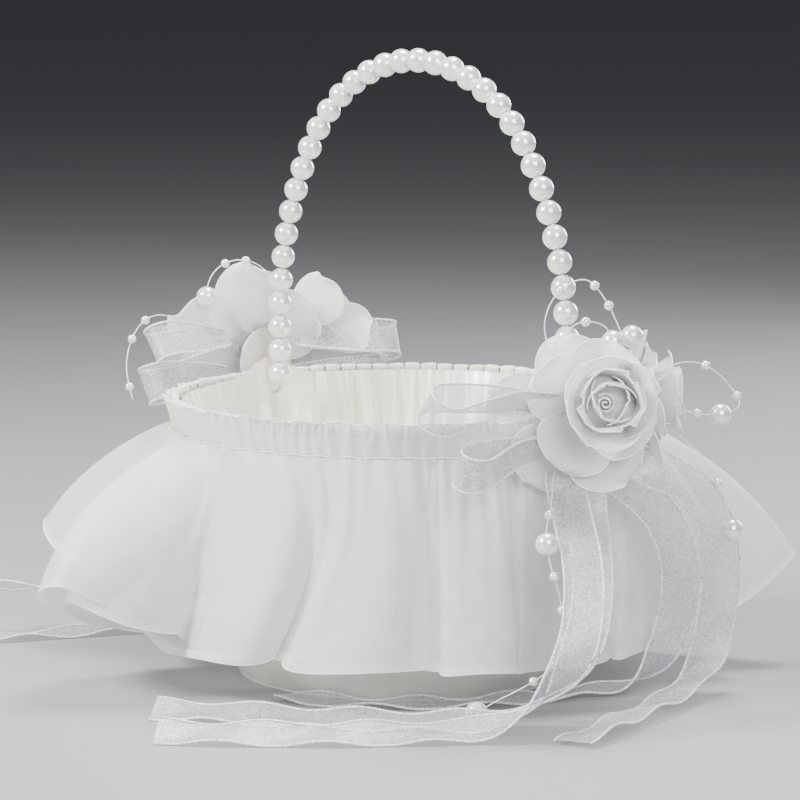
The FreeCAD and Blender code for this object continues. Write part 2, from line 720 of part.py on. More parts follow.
def strand_path(points):
    """Straight runs joined by tangent arcs, as large as the runs allow."""
    runs = [b - a for a, b in zip(points, points[1:])]
    edges = []
    radii = []
    start = points[0]
    for k in range(1, len(points) - 1):
        before, after = runs[k - 1], runs[k]
        turn = before.getAngle(after)
        setback = 0.45 * min(before.Length, after.Length)
        radii.append(setback / math.tan(turn / 2))
        enter = points[k] - before / before.Length * setback
        leave = points[k] + after / after.Length * setback
        towards = (enter + leave) * 0.5 - points[k]
        to_centre = radii[-1] / math.cos(turn / 2)
        middle = points[k] + towards / towards.Length * (to_centre - radii[-1])
        edges.append(Part.LineSegment(start, enter).toShape())
        edges.append(Part.Arc(enter, middle, leave).toShape())
        start = leave
    edges.append(Part.LineSegment(start, points[-1]).toShape())
    return Part.Wire(edges), min(radii)


def make_strand(label, points, beads):
    """A strand's line and its beads."""
    path, least_radius = strand_path(points)
    diameter = size("line_diameter")
    heading = points[1] - points[0]
    section = Part.Wire(Part.makeCircle(diameter / 2, points[0], heading))
    line = path.makePipeShell([section], True, False)
    expected = math.pi * diameter ** 2 / 4 * path.Length
    assert abs(line.Volume / expected - 1) < 0.01, f"{label} has a faulty tube"
    shaped(label + "_line", line)
    balls = []
    for run, kind in beads.items():
        middle = (points[run] + points[run + 1]) * 0.5
        balls.append(Part.makeSphere(size(f"{kind}_bead_diameter") / 2, middle))
    shaped(label + "_beads", Part.makeCompound(balls))
    print(f"{label}: {path.Length:.1f} mm long, least radius {least_radius:.1f} mm")


def make_garland():
    for label, (route, beads) in STRANDS.items():
        make_strand(label, [Vector(*point) for point in route], beads)


# --- build, check and write ----------------------------------------------------------------

def check_document():
    """Stops if any feature failed or any sub-part has no valid shape."""
    for item in doc.Objects:
        if "Invalid" in item.State or "Error" in item.State:
            raise RuntimeError(f"{item.Label} failed: {item.State}")
    for part in parts:
        if part.Shape.isNull() or not part.Shape.isValid():
            raise RuntimeError(f"{part.Label} has no valid shape")


make_base()
make_walls()
make_floor_pad()
make_binding()
make_skirt_heading()
make_skirts()
make_handle_wire()
make_pearls()
make_crimps()
for side, sign in (("right", 1), ("left", -1)):
    make_eyelet(side, sign)
    make_felt_pad(side, sign)
    make_bow(side)
make_roses()
make_tails()
make_garland()
doc.recompute()
check_document()

os.makedirs("parts", exist_ok=True)
for part in parts:
    part.Shape.exportStep(f"parts/{part.Label}.step")
print(f"{len(parts)} sub-parts written")
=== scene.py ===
import math

import bpy
import numpy as np
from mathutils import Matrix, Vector


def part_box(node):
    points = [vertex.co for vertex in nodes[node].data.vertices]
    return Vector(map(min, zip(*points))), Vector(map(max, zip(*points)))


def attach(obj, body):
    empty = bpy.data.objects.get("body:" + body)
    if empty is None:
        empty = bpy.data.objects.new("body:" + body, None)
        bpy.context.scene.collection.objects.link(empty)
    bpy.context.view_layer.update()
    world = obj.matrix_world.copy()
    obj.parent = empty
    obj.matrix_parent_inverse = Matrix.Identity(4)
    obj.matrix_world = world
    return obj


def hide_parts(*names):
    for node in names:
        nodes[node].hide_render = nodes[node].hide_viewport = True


# Looks of the flower girl basket.  Shapes are worked out in millimetres and become metres when
# a mesh or curve is made.  X runs along the plane of the handle, +Z is up.

MM = 0.001
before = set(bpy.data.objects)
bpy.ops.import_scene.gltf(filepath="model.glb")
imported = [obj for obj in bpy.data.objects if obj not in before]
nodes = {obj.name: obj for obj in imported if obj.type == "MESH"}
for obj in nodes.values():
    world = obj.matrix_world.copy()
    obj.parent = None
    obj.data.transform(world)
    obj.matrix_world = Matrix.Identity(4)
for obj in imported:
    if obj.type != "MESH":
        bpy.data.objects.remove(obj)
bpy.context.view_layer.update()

# Sizes that the looks share with the solid model.
BASE_RADIUS = 69
RIM_RADIUS = 98
RIM_HEIGHT = 114
GATHER_HEIGHT = 102
HANDLE_Y = 7
HANDLE_HALF_SPAN = 86
HANDLE_SIDE_RADIUS = 146
HANDLE_SPRING_HEIGHT = 139
HANDLE_RISE = 112
HANDLE_FOOT_HEIGHT = 109        # where the legs begin, above the wire's bends
PEARL_DIAMETER = 9.9
PLEAT_COUNT = 84
PLEAT_RADIUS = 95.2             # of the middle of a pleat
PLEAT_HEIGHT = 112.6
RIBBON_WIDTH = 15
LINE_DIAMETER = 0.5

# Directions round Z, in radians, in which the feet of the handle go into the drum.
HANDLE_FEET = (0.08, math.pi - 0.08)
# Direction round Z, in degrees, of the skirt's front as the camera sees it.
FRONT = 317


# --- camera, light and floor ---

TARGET = Vector((-1.6, -1.7, 111.7)) * MM       # what the camera looks at
BACK = Vector((0.7233, -0.6767, 0.1357))        # from there towards the camera
RIGHT = Vector((0.683, 0.730, 0))               # to the right in the picture
CAMERA_DISTANCE = 1.6508
LENS = 180.4


def placed(name, data):
    """A new object in the scene."""
    made = bpy.data.objects.new(name, data)
    bpy.context.scene.collection.objects.link(made)
    return made


def aim(thing, direction):
    """Turns a camera or a lamp so that it looks in a direction."""
    thing.rotation_mode = "QUATERNION"
    thing.rotation_quaternion = direction.to_track_quat("-Z", "Y")


def make_camera():
    """A long lens a little above the rim, turned so that the right rose faces it."""
    camera = placed("camera", bpy.data.cameras.new("camera"))
    camera.data.sensor_width = 36
    camera.data.lens = LENS
    camera.data.clip_end = 30
    camera.location = TARGET + BACK * CAMERA_DISTANCE
    aim(camera, -BACK)
    bpy.context.scene.camera = camera


def area_light(name, place, size, power, colour=(1, 1, 1)):
    """A square soft light at (right, up, towards the camera) metres from the basket."""
    data = bpy.data.lights.new(name, "AREA")
    data.size = size
    data.energy = power
    data.color = colour
    lamp = placed(name, data)
    right, up, near = place
    lamp.location = TARGET + RIGHT * right + Vector((0, 0, up)) + BACK * near
    aim(lamp, TARGET - lamp.location)


def make_studio():
    """Four soft lights, a dim surround and a plain pale floor."""
    area_light("key", (-0.95, 0.70, 0.40), 0.35, 42, (1, 0.985, 0.96))
    area_light("fill", (0.45, 0.45, 1.15), 0.7, 20, (0.985, 0.985, 1))
    area_light("top", (0.15, 1.05, -0.25), 0.4, 24)
    area_light("rim", (0.8, 0.45, -0.9), 0.5, 11, (0.93, 0.95, 1))
    world = bpy.data.worlds.new("studio")
    world.use_nodes = True
    background = world.node_tree.nodes["Background"]
    background.inputs["Color"].default_value = (0.30, 0.31, 0.34, 1)
    background.inputs["Strength"].default_value = 0.25
    bpy.context.scene.world = world
    bpy.ops.mesh.primitive_plane_add(size=24)
    floor = bpy.context.object
    floor.name = "floor"
    floor.data.materials.append(plain_material("floor", (0.32, 0.32, 0.33), 0.55))


# --- materials ---

WAVE_PERIOD = 0.314             # of a wave texture of scale 1, in metres


def plain_material(name, colour, roughness, **inputs):
    """A principled material; inputs are its other sockets, with _ for a space."""
    made = bpy.data.materials.new(name)
    made.use_nodes = True
    shader = made.node_tree.nodes["Principled BSDF"]
    shader.inputs["Base Color"].default_value = (*colour, 1)
    shader.inputs["Roughness"].default_value = roughness
    for key, value in inputs.items():
        shader.inputs[key.replace("_", " ")].default_value = value
    return made


def add(tree, kind, inputs=None, **settings):
    """A shader node of a kind, with its settings and unlinked inputs filled in."""
    node = tree.nodes.new("ShaderNode" + kind)
    for key, value in settings.items():
        setattr(node, key, value)
    for key, value in (inputs or {}).items():
        node.inputs[key].default_value = value
    return node


def texture(tree, kind, inputs, coordinate="Object", **settings):
    """A texture that is laid out in the object's space, or along the cloth by UV."""
    node = add(tree, "Tex" + kind, inputs, **settings)
    place = add(tree, "TexCoord")
    tree.links.new(place.outputs[coordinate], node.inputs["Vector"])
    return node


def feed(made, output, socket):
    """Links an output to a socket of the material's shader."""
    made.node_tree.links.new(output, made.node_tree.nodes["Principled BSDF"].inputs[socket])


def bump(tree, height, strength, depth, under=None):
    """The normal of a bump depth metres deep, on top of another one's."""
    node = add(tree, "Bump", {"Strength": strength, "Distance": depth})
    tree.links.new(height, node.inputs["Height"])
    if under is not None:
        tree.links.new(under, node.inputs["Normal"])
    return node.outputs["Normal"]


def mottled_material(name, tone, other_tone, scale, roughness, detail=3.0, contrast=1.0,
                     **inputs):
    """A material whose colour drifts between two tones, in patches about 1/scale m across."""
    made = plain_material(name, tone, roughness, **inputs)
    tree = made.node_tree
    noise = texture(tree, "Noise", {"Scale": scale, "Detail": detail})
    # For colours the mix has its two inputs at 6 and 7 and its result at 2.
    mix = add(tree, "Mix", data_type="RGBA")
    mix.inputs[6].default_value = (*tone, 1)
    mix.inputs[7].default_value = (*other_tone, 1)
    spread = add(tree, "MapRange",
                 {"From Min": 0.5 - 0.5 / contrast, "From Max": 0.5 + 0.5 / contrast})
    tree.links.new(noise.outputs["Fac"], spread.inputs["Value"])
    tree.links.new(spread.outputs["Result"], mix.inputs[0])
    feed(made, mix.outputs[2], "Base Color")
    return made


def grain(made, scale, strength, depth):
    """Bump of fine grains 1/scale of a metre across and depth metres deep."""
    tree = made.node_tree
    noise = texture(tree, "Noise", {"Scale": scale, "Detail": 2.0})
    feed(made, bump(tree, noise.outputs["Fac"], strength, depth), "Normal")


def weave(made, period, strength, crease=0, crease_scale=60, coordinate="UV"):
    """Bump of crossed threads a period apart in mm, with soft creases under them."""
    tree = made.node_tree
    crossed = add(tree, "Math", operation="MAXIMUM")
    for socket, direction in zip(crossed.inputs, ("X", "Y")):
        wave = texture(tree, "Wave",
                       {"Scale": WAVE_PERIOD / (period * MM), "Distortion": 0.6, "Detail": 1.0,
                        "Detail Scale": 2.0},
                       coordinate, wave_type="BANDS", bands_direction=direction)
        tree.links.new(wave.outputs["Fac"], socket)
    soft = None
    if crease:
        noise = texture(tree, "Noise", {"Scale": crease_scale, "Detail": 4.0})
        soft = bump(tree, noise.outputs["Fac"], 0.5, crease * MM)
    fine = bump(tree, crossed.outputs[0], strength, 0.12 * period * MM, soft)
    feed(made, fine, "Normal")


def satin_material():
    """Ivory satin of the drum and its pleated binding."""
    made = mottled_material("ivory_satin", (0.87, 0.85, 0.78), (0.81, 0.79, 0.71), 55, 0.33,
                            Sheen_Weight=0.25, Sheen_Roughness=0.4, Specular_IOR_Level=0.55)
    weave(made, 0.35, 0.25, 0.5, 90)
    return made


def lining_material():
    """The same satin inside the drum, creamier and glossier."""
    made = mottled_material("lining_satin", (0.89, 0.87, 0.77), (0.82, 0.79, 0.68), 60, 0.2,
                            Sheen_Weight=0.3, Sheen_Roughness=0.35, Specular_IOR_Level=0.75)
    weave(made, 0.35, 0.2, 1.0, 70)
    return made


def organza_material(name, tone, other_tone, alpha):
    """Sheer stiff cloth with a faint watered pattern where its threads cross."""
    made = mottled_material(name, tone, other_tone, 140, 0.48, 5.0, 2.2, Alpha=alpha,
                            Sheen_Weight=0.35, Sheen_Roughness=0.3,
                            Sheen_Tint=(0.95, 0.97, 1, 1))
    weave(made, 0.6, 0.35, 0.35, 150)
    return made


def ribbon_material():
    """Sheer silvery mesh with glitter threads, with painted sparkle: flecks in its colour run
    from grey to white.
    """
    made = plain_material("ribbon_mesh_painted_sparkle", (0.84, 0.84, 0.88), 0.34, Alpha=0.5,
                          Metallic=0.45, Sheen_Weight=0.3)
    tree = made.node_tree
    flakes = texture(tree, "Voronoi", {"Scale": 2600.0}, feature="F1")
    # Painted sparkle: each fleck gets a colour from grey to white, standing in for the glitter
    # catching the light; the flecks' gloss below is real.
    bright = add(tree, "ValToRGB")
    dark_stop, light_stop = bright.color_ramp.elements
    dark_stop.color = (0.44, 0.44, 0.49, 1)
    dark_stop.position = 0.35
    light_stop.color = (1, 1, 1, 1)
    light_stop.position = 0.8
    tree.links.new(flakes.outputs["Color"], bright.inputs["Fac"])
    feed(made, bright.outputs["Color"], "Base Color")
    gloss = add(tree, "MapRange", {"From Max": 0.6, "To Min": 0.18, "To Max": 0.55})
    tree.links.new(flakes.outputs["Distance"], gloss.inputs["Value"])
    feed(made, gloss.outputs["Result"], "Roughness")
    weave(made, 0.8, 0.6)
    return made


def metallic_edge_material():
    """Twisted silver thread along a ribbon's edges; its white patches are painted glints of the
    twist, between grey-silver patches of its own tone.
    """
    # Painted glints: white patches along the cord, between patches of its grey-silver tone.
    made = mottled_material("ribbon_edge_painted_glints", (1.0, 1.0, 1.0), (0.56, 0.56, 0.62), 1100, 0.5, 1.0,
                            4.0, Coat_Weight=0.3, Sheen_Weight=0.4)
    grain(made, 2500, 0.7, 0.0002)
    return made


def petal_material():
    """Stiffened white organza, soft and a little translucent."""
    made = mottled_material("rose_petal", (0.985, 0.98, 0.96), (0.945, 0.945, 0.93), 80, 0.5,
                            Alpha=0.74, Subsurface_Weight=0.6,
                            Subsurface_Radius=(1, 0.99, 0.96), Subsurface_Scale=0.003,
                            Sheen_Weight=0.4)
    weave(made, 0.35, 0.3, 0.5, 170)
    return made


def petal_edge_material():
    """The melted, shinier edge of a cut petal."""
    return mottled_material("petal_edge", (1.0, 1.0, 0.99), (0.94, 0.94, 0.93), 700, 0.25,
                            Coat_Weight=0.3)


def pearl_material(name):
    """Imitation pearl: a clear coat over a pale, faintly metallic body."""
    made = mottled_material(name, (0.93, 0.92, 0.90), (0.88, 0.87, 0.88), 260, 0.2, 2.0,
                            Metallic=0.35, Coat_Weight=1.0, Coat_Roughness=0.04,
                            Sheen_Weight=0.3, Specular_IOR_Level=0.7)
    grain(made, 900, 0.08, 0.0001)
    return made


def line_material():
    """Clear nylon line."""
    return mottled_material("clear_line", (0.9, 0.92, 0.94), (0.75, 0.78, 0.82), 900, 0.2,
                            Coat_Weight=0.5)


def steel_material():
    """Drawn wire, for the handle's wire, its crimps and the eyelets."""
    made = mottled_material("wire_steel", (0.68, 0.68, 0.69), (0.56, 0.56, 0.57), 500, 0.3,
                            Metallic=1.0)
    weave(made, 0.4, 0.15, coordinate="Object")
    return made


def felt_material():
    """White felt of the pads behind the flowers."""
    made = mottled_material("felt", (0.83, 0.83, 0.80), (0.70, 0.70, 0.67), 900, 0.95, 6.0,
                            Sheen_Weight=0.5)
    weave(made, 0.9, 0.3, 0.3, 1200, "Object")
    return made


def board_material():
    """Pale brown card of the wall and the base."""
    made = mottled_material("card", (0.74, 0.70, 0.62), (0.64, 0.60, 0.52), 400, 0.85, 6.0)
    weave(made, 1.2, 0.2, 0.2, 700, "Object")
    return made


def thread_material():
    """Sewing thread, also used along the edges of the organza."""
    made = mottled_material("stitch_thread", (0.96, 0.95, 0.92), (0.84, 0.83, 0.78), 1200, 0.5,
                            Sheen_Weight=0.4)
    weave(made, 0.5, 0.5, coordinate="Object")
    return made


# --- mesh helpers ---

def turns(count):
    """Angles in radians, evenly spaced round a whole turn."""
    return np.arange(count) * 2 * math.pi / count


def unit(vectors):
    """Vectors brought to length one."""
    vectors = np.asarray(vectors, float)
    return vectors / np.linalg.norm(vectors, axis=-1, keepdims=True)


def running_total(steps):
    """Sums of the first 0, 1, 2 and so on steps."""
    return np.concatenate([[0], np.cumsum(steps)])


def round_z(radius, angle, height):
    """Points from a radius, an angle in radians round Z and a height."""
    return np.stack(np.broadcast_arrays(radius * np.cos(angle), radius * np.sin(angle), height),
                    axis=-1)


def mesh_object(name, points, faces, material, uv=None, body="basket"):
    """A smooth piece from points in mm and faces; it rides on a body of the solid model."""
    mesh = bpy.data.meshes.new(name)
    mesh.from_pydata((np.asarray(points, float).reshape(-1, 3) * MM).tolist(), [], faces)
    mesh.polygons.foreach_set("use_smooth", [True] * len(mesh.polygons))
    if uv is not None:
        layer = mesh.uv_layers.new(name="cloth")
        corner = np.empty(len(mesh.loops), np.int32)
        mesh.loops.foreach_get("vertex_index", corner)
        layer.data.foreach_set("uv", np.asarray(uv, np.float32)[corner].ravel())
    mesh.materials.append(material)
    mesh.update()
    piece = placed(name, mesh)
    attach(piece, body)
    return piece


def grid_faces(grid, first=0, wrap=True):
    """Four-sided faces of rows of points, which wrap round unless told not to."""
    rows, columns = grid.shape[:2]
    faces = []
    for above in range(first, first + (rows - 1) * columns, columns):
        below = above + columns
        for here in range(columns if wrap else columns - 1):
            following = (here + 1) % columns
            faces.append((above + here, below + here, below + following, above + following))
    return faces


def grid_uv(points):
    """UV of a grid in metres of cloth, so that a weave keeps its size."""
    across = np.linalg.norm(np.diff(points, axis=1), axis=2).mean(axis=0)
    down = np.linalg.norm(np.diff(points, axis=0), axis=2).mean(axis=1)
    uv = np.meshgrid(running_total(across) * MM, running_total(down) * MM)
    return np.stack(uv, axis=-1).reshape(-1, 2)


def joined(name, grids, faces_of, material, woven=False, body="basket"):
    """Several grids of points as one piece; faces_of gives a grid's faces."""
    faces, first = [], 0
    for grid in grids:
        faces += faces_of(grid, first)
        first += grid.shape[0] * grid.shape[1]
    points = np.concatenate([grid.reshape(-1, 3) for grid in grids])
    uv = np.concatenate([grid_uv(grid) for grid in grids]) if woven else None
    return mesh_object(name, points, faces, material, uv, body)


def cloth(name, points, material):
    """A piece of cloth that goes all the way round, from rows of points."""
    return joined(name, [points], grid_faces, material, True)


def sheet_faces(grid, first):
    """Faces of a sheet with two free sides."""
    return grid_faces(grid, first, False)


def tube_points(path, radius, closed):
    """Rings of six points round a path."""
    if closed:
        heading = np.roll(path, -1, axis=0) - np.roll(path, 1, axis=0)
    else:
        heading = np.gradient(path, axis=0)
    heading = unit(heading)
    up = np.where(np.abs(heading[:, 2:3]) > 0.9, [[1.0, 0, 0]], [[0, 0, 1.0]])
    side = unit(np.cross(heading, up))
    other = np.cross(heading, side)
    turn = turns(6)[:, None]
    ring = side[:, None] * np.cos(turn) + other[:, None] * np.sin(turn)
    return path[:, None] + ring * radius


def tube_faces(rings, first=0, closed=False):
    """Faces of a tube; an open one gets caps at its two ends."""
    count, sides = rings.shape[:2]
    faces = [tuple(reversed(face)) for face in grid_faces(rings, first)]
    if closed:
        last = first + (count - 1) * sides
        for k in range(sides):
            following = (k + 1) % sides
            faces.append((last + k, last + following, first + following, first + k))
    else:
        faces.append(tuple(first + k for k in range(sides)))
        faces.append(tuple(first + (count - 1) * sides + k for k in reversed(range(sides))))
    return faces


def tubes(name, paths, radius, material, closed=False):
    """Several threads or cords of one radius as one piece."""
    rings = [tube_points(path, radius, closed) for path in paths]
    return joined(name, rings, lambda ring, first: tube_faces(ring, first, closed), material)


def smooth_path(stations, count):
    """Points on a smooth curve through stations, which may carry more values than x, y, z."""
    stations = np.asarray(stations, float)
    padded = np.vstack([2 * stations[0] - stations[1], stations, 2 * stations[-1] - stations[-2]])
    place = np.linspace(0, len(stations) - 1, count)
    k = np.minimum(place.astype(int), len(stations) - 2)
    t = (place - k)[:, None]
    a, b, c, d = padded[k], padded[k + 1], padded[k + 2], padded[k + 3]
    return 0.5 * (2 * b + (c - a) * t + (2 * a - 5 * b + 4 * c - d) * t ** 2
                  + (3 * b - a - 3 * c + d) * t ** 3)


# --- bead garland ---

SMALL = 3.7                     # diameters of the moulded pearls
LARGE = 9
# The strands' routes in mm, and which runs carry a pearl at their middle.
STRANDS = {
    "right_loop": (
        [(106, -8, 128), (102.5, -13, 136), (99.5, -17.5, 144), (98, -18.5, 153),
         (98, -14.5, 162), (100.5, -7.5, 168.5), (104.5, -0.5, 170.5), (108, 4, 164),
         (112, 7, 155.5), (115, 9, 146.5)],
        {4: SMALL, 6: SMALL, 7: SMALL}),
    "right_arc": (
        [(104, 17, 141), (105, 12, 149), (104.5, 4, 153), (102, -4, 153),
         (99.5, -10, 147.5), (99.5, -12.5, 139.5)],
        {2: SMALL}),
    "right_pearls": (
        [(107.5, 3.5, 137), (108.9, 5.6, 143.2), (110.3, 11.2, 146.8), (111.3, 24, 146),
         (112, 27, 139), (109, 30, 131)],
        {1: LARGE, 2: LARGE, 4: SMALL}),
    "right_side": (
        [(109, 30, 129), (113, 39, 134), (117, 49, 134.5), (119.5, 57, 130.5),
         (123, 63.5, 123), (129, 63, 117), (131, 54, 114.5), (129, 43, 114),
         (125, 33, 117)],
        {2: SMALL, 4: SMALL, 6: LARGE, 7: SMALL}),
    "right_pendant": (
        [(125, 31, 107), (132, 33.5, 102), (137, 37, 93.5), (139.5, 41, 83.5),
         (140, 44.5, 73.5), (140, 47, 65.5)],
        {2: SMALL, 4: LARGE}),
    "right_hanging": (
        [(105.5, -19, 97), (110, -25.5, 93), (117, -32, 86.5), (122.5, -41.5, 78),
         (127, -44, 66), (131, -42, 54), (132.5, -41, 42), (130, -39.5, 30),
         (122.5, -40.5, 21), (112, -43.5, 14), (102, -50.5, 7.6), (98, -60, 2)],
        {2: SMALL, 3: LARGE, 4: SMALL, 5: SMALL, 6: SMALL, 7: SMALL, 8: SMALL,
         10: LARGE}),
    "left_top": (
        [(-106, -12, 134), (-109, -14, 142), (-110, -14, 151), (-108.5, -9.5, 159),
         (-105, -1.5, 162.5), (-101.5, 7.5, 160.5), (-100, 14.5, 154), (-101, 20, 146)],
        {1: LARGE, 3: SMALL, 4: SMALL}),
    "left_side": (
        [(-108, -22, 134), (-112, -31, 139.5), (-112.5, -41.5, 141), (-111.5, -51, 136.5),
         (-110, -57.5, 127.5), (-107, -61, 117), (-102.5, -61, 107.5)],
        {2: SMALL, 3: SMALL, 5: SMALL}),
}


def bead(centre, heading, radius):
    """A moulded pearl: a ball that dips a little where the line goes in."""
    heading = unit(heading)
    side = unit(np.cross(heading, [0.3, 0.5, 0.81]))
    other = np.cross(heading, side)
    waist = 0.16
    angle = np.linspace(math.asin(waist), math.pi - math.asin(waist), 20)
    dip = math.cos(angle[0]) - 0.03
    along = np.concatenate([[dip], np.cos(angle), [-dip]])[:, None, None]
    out = np.concatenate([[0.7 * waist], np.sin(angle), [0.7 * waist]])[:, None, None]
    turn = turns(28)[:, None]
    ring = side * np.cos(turn) + other * np.sin(turn)
    return centre + radius * (heading * along + out * ring)


def beads_object(name, beads, material, body):
    """Several pearls, each (centre, heading, radius), as one piece."""
    return joined(name, [bead(*shape) for shape in beads], tube_faces, material,
                  body=body)


def spline_line(curve_object):
    """Points along a curve's own line, in mm, read from the curve without its bevel."""
    curve = curve_object.data
    bevel = curve.bevel_depth
    curve.bevel_depth = 0
    bpy.context.view_layer.update()
    evaluated = curve_object.evaluated_get(bpy.context.evaluated_depsgraph_get())
    mesh = bpy.data.meshes.new_from_object(evaluated)
    line = np.array([v.co for v in mesh.vertices]) / MM
    bpy.data.meshes.remove(mesh)
    curve.bevel_depth = bevel
    return line


def make_strand(label, route, carried, clear, pearl):
    """One strand: a clear line on a smooth curve, and the pearls moulded on it."""
    curve = bpy.data.curves.new(label + "_line", "CURVE")
    curve.dimensions = "3D"
    curve.resolution_u = 12
    curve.bevel_depth = LINE_DIAMETER / 2
    curve.bevel_resolution = 3
    spline = curve.splines.new("NURBS")
    spline.points.add(len(route) - 1)
    # The bevel is in mm, and each point's radius brings it to metres.
    for point, place in zip(spline.points, route):
        point.co = (*[value * MM for value in place], 1)
        point.radius = MM
    spline.order_u = 3
    spline.use_endpoint_u = True
    curve.materials.append(clear)
    line = placed(label + "_line", curve)
    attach(line, "basket")
    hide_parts(f"garland_{label}_line")
    path = spline_line(line)
    beads = []
    for run, diameter in carried.items():
        middle = (np.array(route[run]) + np.array(route[run + 1])) / 2
        k = int(np.argmin(np.linalg.norm(path - middle, axis=1)))
        k = min(max(k, 1), len(path) - 2)
        beads.append((path[k], path[k + 1] - path[k - 1], diameter / 2))
    pearls = beads_object(label + "_beads", beads, pearl, "basket")
    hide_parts(f"garland_{label}_beads")


def make_garland():
    """All the strands of moulded pearls."""
    clear = line_material()
    pearl = pearl_material("garland_pearl")
    for label, (route, carried) in STRANDS.items():
        make_strand(label, route, carried, clear, pearl)


# --- the handle ---

def arch_point(distance):
    """Point and heading on the handle's centreline a distance from one foot, and its length.

    Each half is a straight leg, an arc of the side radius and half of the top arc.
    """
    off_centre = HANDLE_SIDE_RADIUS - HANDLE_HALF_SPAN
    short = HANDLE_SIDE_RADIUS - HANDLE_RISE
    top = (off_centre ** 2 - short ** 2) / (2 * short)
    top_radius = HANDLE_RISE - top
    meet = math.atan2(top, off_centre)
    leg = HANDLE_SPRING_HEIGHT - HANDLE_FOOT_HEIGHT
    flank = HANDLE_SIDE_RADIUS * meet
    crown = top_radius * (math.pi / 2 - meet)
    whole = 2 * (leg + flank + crown)
    mirrored = distance > whole / 2
    along = whole - distance if mirrored else distance
    if along <= leg:
        angle = 0
        x = HANDLE_HALF_SPAN
        z = HANDLE_FOOT_HEIGHT + along
    elif along <= leg + flank:
        angle = (along - leg) / HANDLE_SIDE_RADIUS
        x = HANDLE_SIDE_RADIUS * math.cos(angle) - off_centre
        z = HANDLE_SPRING_HEIGHT + HANDLE_SIDE_RADIUS * math.sin(angle)
    else:
        angle = meet + (along - leg - flank) / top_radius
        x = top_radius * math.cos(angle)
        z = HANDLE_SPRING_HEIGHT + top + top_radius * math.sin(angle)
    sign = -1 if mirrored else 1
    heading = np.array([-sign * math.sin(angle), 0, math.cos(angle)])
    return np.array([sign * x, HANDLE_Y, z]), heading, whole


def make_handle(steel):
    """Pearls on the handle; its wire, crimps and eyelets are the solid model's own."""
    room = arch_point(0)[2] - PEARL_DIAMETER
    gaps = int(room / PEARL_DIAMETER)
    radius = PEARL_DIAMETER / 2 + 0.05      # so that neighbours all but touch
    beads = []
    for k in range(gaps + 1):
        centre, heading, _ = arch_point(PEARL_DIAMETER / 2 + k * room / gaps)
        beads.append((centre, heading, radius))
    pearls = beads_object("handle_pearl_string", beads, pearl_material("handle_pearl"),
                          "handle")
    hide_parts("handle_pearls")
    for name in ("handle_wire", "wire_crimps", "eyelet_right", "eyelet_left"):
        paint(name, steel)


def paint(node, material):
    """Gives a node of the solid model a material."""
    mesh = nodes[node].data
    mesh.materials.clear()
    mesh.materials.append(material)


# --- the drum ---

def drum_radius(height):
    """Outer radius of the drum at a height."""
    return BASE_RADIUS + (RIM_RADIUS - BASE_RADIUS) * height / RIM_HEIGHT


def make_drum_cover(satin):
    """Satin stretched over the drum, eased round the base, with faint pulls."""
    theta = turns(360)
    height = np.array([0.0, 0.0, 0.25, 0.9, 2.0, 4.0, 8, 16, 30, 50, 75, 100, 110])[:, None]
    pull = (0.18 * np.sin(23 * theta + 2 * np.sin(3 * theta)) * np.exp(-height / 14)
            + 0.12 * np.sin(51 * theta + np.sin(5 * theta)) * np.exp(-height / 8))
    radius = drum_radius(height) - 0.25 + pull * np.minimum(height / 3, 1)
    # The lowest rows turn in under the drum.
    radius[0] -= 6
    radius[1] -= 0.9
    radius[2] -= 0.25
    points = round_z(radius, theta, height + 0.02)
    cover = cloth("drum_cover", points[::-1], satin)
    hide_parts("outer_cover")


def make_lining(material):
    """Gathered satin inside the drum, with uneven upright folds."""
    theta = turns(1080)
    share = np.linspace(0, 1, 36)[:, None]
    height = 6 + share * 106.5
    warp = theta + 0.08 * np.sin(5 * theta + 0.4) + 0.03 * np.sin(13 * theta + 2 * share)
    ridge = np.abs(np.sin(26 * warp + 0.9 * np.sin(4 * theta) + 0.35 * share))
    small = np.sin(101 * warp + 2.0 * np.sin(7 * theta) - 0.8 * share)
    depth = ((1.6 + 2.2 * np.sin(math.pi * share) ** 0.7)
             * (1 + 0.35 * np.sin(7 * theta + 1) + 0.25 * np.sin(11 * theta)))
    swell = 2.4 * np.sin(math.pi * share) ** 1.5 * (1 + 0.4 * np.sin(9 * theta + 1))
    radius = drum_radius(height) - 4.4 - swell - depth * ridge ** 0.8 - 0.3 * small
    # The satin is caught up in a small peak where each foot of the handle goes in, and lies
    # flat below it, out of the way of the pearls.
    for foot in HANDLE_FEET:
        turn = (theta - foot + math.pi) % (2 * math.pi) - math.pi
        flat = np.exp(-(turn / 0.27) ** 4) * np.clip((height - 98) / 6, 0, 1)
        near_wall = np.minimum(drum_radius(height) - 3.7, 93.3)
        radius = radius + flat * np.maximum(near_wall - radius, 0)
        peak = np.exp(-(turn / 0.13) ** 2) * share ** 5
        height = height + 8 * peak
        radius = radius + 0.9 * peak * (1 + np.cos(60 * turn))
    points = round_z(radius, theta, height)
    lining = cloth("gathered_lining", points, material)
    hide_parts("satin_lining")


def make_floor_pad(material):
    """The padded satin disc inside the base, blown up by a short cloth simulation."""
    low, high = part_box("floor_pad")
    centre = (low + high) / 2
    radius = (high.x - low.x) / 2 - 1.5 * MM
    thick = high.z - low.z
    # Reach and height of its rings, as shares of the radius and the thickness.
    rings = [(0.0, 0.5), (0.4, 0.48), (0.8, 0.42), (0.95, 0.3), (1.0, 0.0), (0.95, -0.38),
             (0.5, -0.4), (0.0, -0.4)]
    points = np.array([round_z(max(out, 0.02) * radius / MM, turns(64),
                               (centre.z + up * thick) / MM)
                       for out, up in rings])
    pad = mesh_object("floor_cushion", points, tube_faces(points), material)
    inflate(pad, 5 * MM, 2.5 * MM)
    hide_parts("floor_pad")


